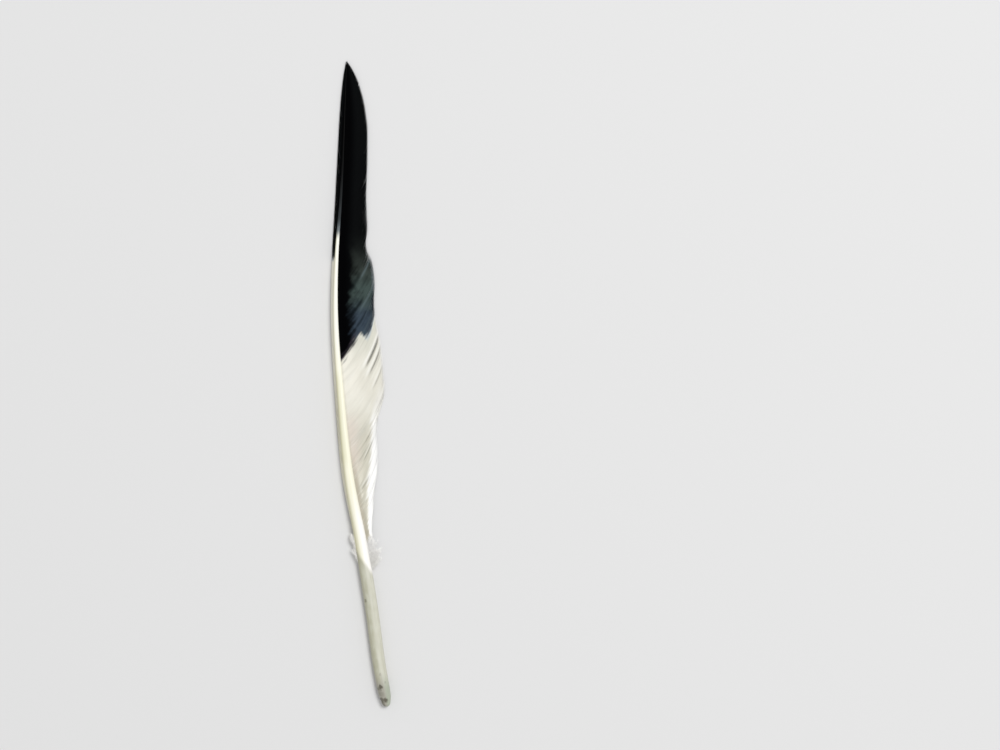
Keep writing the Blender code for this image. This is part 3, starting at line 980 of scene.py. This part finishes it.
def shaft_finish(name):
    """Horn: ivory rachis, grey quill with its stains, and the thin dark end in the black tip.

    side_x and side_z run from -1 to 1 across the shaft and up it. The rachis reaches down the
    trailing side of the quill in a tongue.
    """
    material, shader = new_finish(name, GLOSS[name])
    start = Wire(material.node_tree)
    place, side_x, side_z, sunk = start.fields("place", "turn_x", "turn_z", "sunk")
    flute = start.noise(side_x * 3.0, side_z * 3.0, place * 0.04, 1.6, 3.0)
    mottle = start.noise(side_x * 0.8, side_z * 0.8, place * 0.12, 1.4, 4.0)
    speckle = start.noise(side_x * 3.0, side_z * 3.0, place * 0.9, 1.2, 3.0)
    rachis = rachis_colour(place, side_x, side_z, flute)
    quill = quill_colour(place, side_x, flute, mottle)
    tongue = place + side_x * 5.6 + (flute - 0.5) * 3
    horn = tongue.ease(65.8, 70.2).blend(quill, rachis)
    # Painted shade in the hole in the quill's end.
    horn = (sunk.ease(0.0, 1.0) * 0.8).blend(horn, QUILL_HOLE_SHADE)
    strayed_place = place + (speckle - 0.5) * 2.2
    strayed_side = side_x + (mottle - 0.5) * 0.3
    for stain_place, stain_side, along, wide, strength in QUILL_STAINS:
        off = ((strayed_place - stain_place) / along) ** 2 + ((strayed_side - stain_side) / wide) ** 2
        stain = (1 - off.ease(0.2, 1.8)) * side_z.ease(-0.3, 0.1) * strength
        horn = stain.blend(horn, QUILL_STAIN)
    for low, high, grey in RACHIS_DARKENS:
        dark = [grey * share for share in TIP_TINT]
        horn = (place + (flute - 0.5) * 4).ease(low, high).blend(horn, dark)
    paint(shader, horn)
    return material


def make_stage():
    """A plain pale grey floor under the feather."""
    bpy.ops.mesh.primitive_plane_add(size=FLOOR_SIZE)
    floor = bpy.context.object
    floor.name = "floor"
    floor.location.z = FLOOR_HEIGHT
    material, shader = new_finish("floor_paper", GLOSS["floor_paper"])
    shader.inputs["Base Color"].default_value = FLOOR_COLOUR
    floor.data.materials.append(material)


def make_light():
    """A plain white sky, and one square soft light that is aimed at the feather."""
    world = bpy.data.worlds.new("studio")
    world.use_nodes = True
    sky = world.node_tree.nodes["Background"]
    sky.inputs["Color"].default_value = SKY_COLOUR
    sky.inputs["Strength"].default_value = SKY_STRENGTH
    data = bpy.data.lights.new("key", "AREA")
    data.size = KEY_SIZE
    data.energy = KEY_POWER
    light = bpy.data.objects.new("key", data)
    light.location = KEY_PLACE
    light.rotation_euler = (-Vector(KEY_PLACE)).to_track_quat("-Z", "Y").to_euler()
    scene = bpy.context.scene
    scene.collection.objects.link(light)
    scene.world = world
    scene.view_settings.view_transform = "Standard"


def make_camera():
    """The photograph's camera, straight above the place in the middle of its picture."""
    data = bpy.data.cameras.new("camera")
    data.sensor_width = SENSOR_WIDTH
    data.lens = SENSOR_WIDTH * CAMERA_HEIGHT / VIEW_WIDTH
    data.clip_start = CAMERA_NEAR
    camera = bpy.data.objects.new("camera", data)
    camera.location = to_frame(np.array([*VIEW_MIDDLE, CAMERA_HEIGHT + MEAN_HEIGHT]))
    bpy.context.scene.collection.objects.link(camera)
    bpy.context.scene.camera = camera


def main():
    """The stage, then the shaft, the two tufts of down, and each vane in its white and black part."""
    make_stage()
    make_light()
    make_camera()
    make_shaft(shaft_finish("shaft_horn"), shaft_finish("tip_horn"))
    fluff = down_finish()
    make_down("trailing_down", TRAILING, fluff)
    make_down("leading_down", LEADING, fluff)
    for side, name in ((TRAILING, "trailing"), (LEADING, "leading")):
        low, high = VANE_SPAN[side]
        split = FINISH_SPLIT[side]
        ends = np.linspace(low, high, int((high - low) / BARB_PITCH[side]))
        for shade, first, last in (("white", low, split), ("black", split, high + 1)):
            finish = vane_finish(f"{name}_{shade}_barbs", side, GLOSS[f"{shade}_barbs"])
            make_barbs(f"{name}_vane_{shade}", side, ends, finish, first, last)


main()
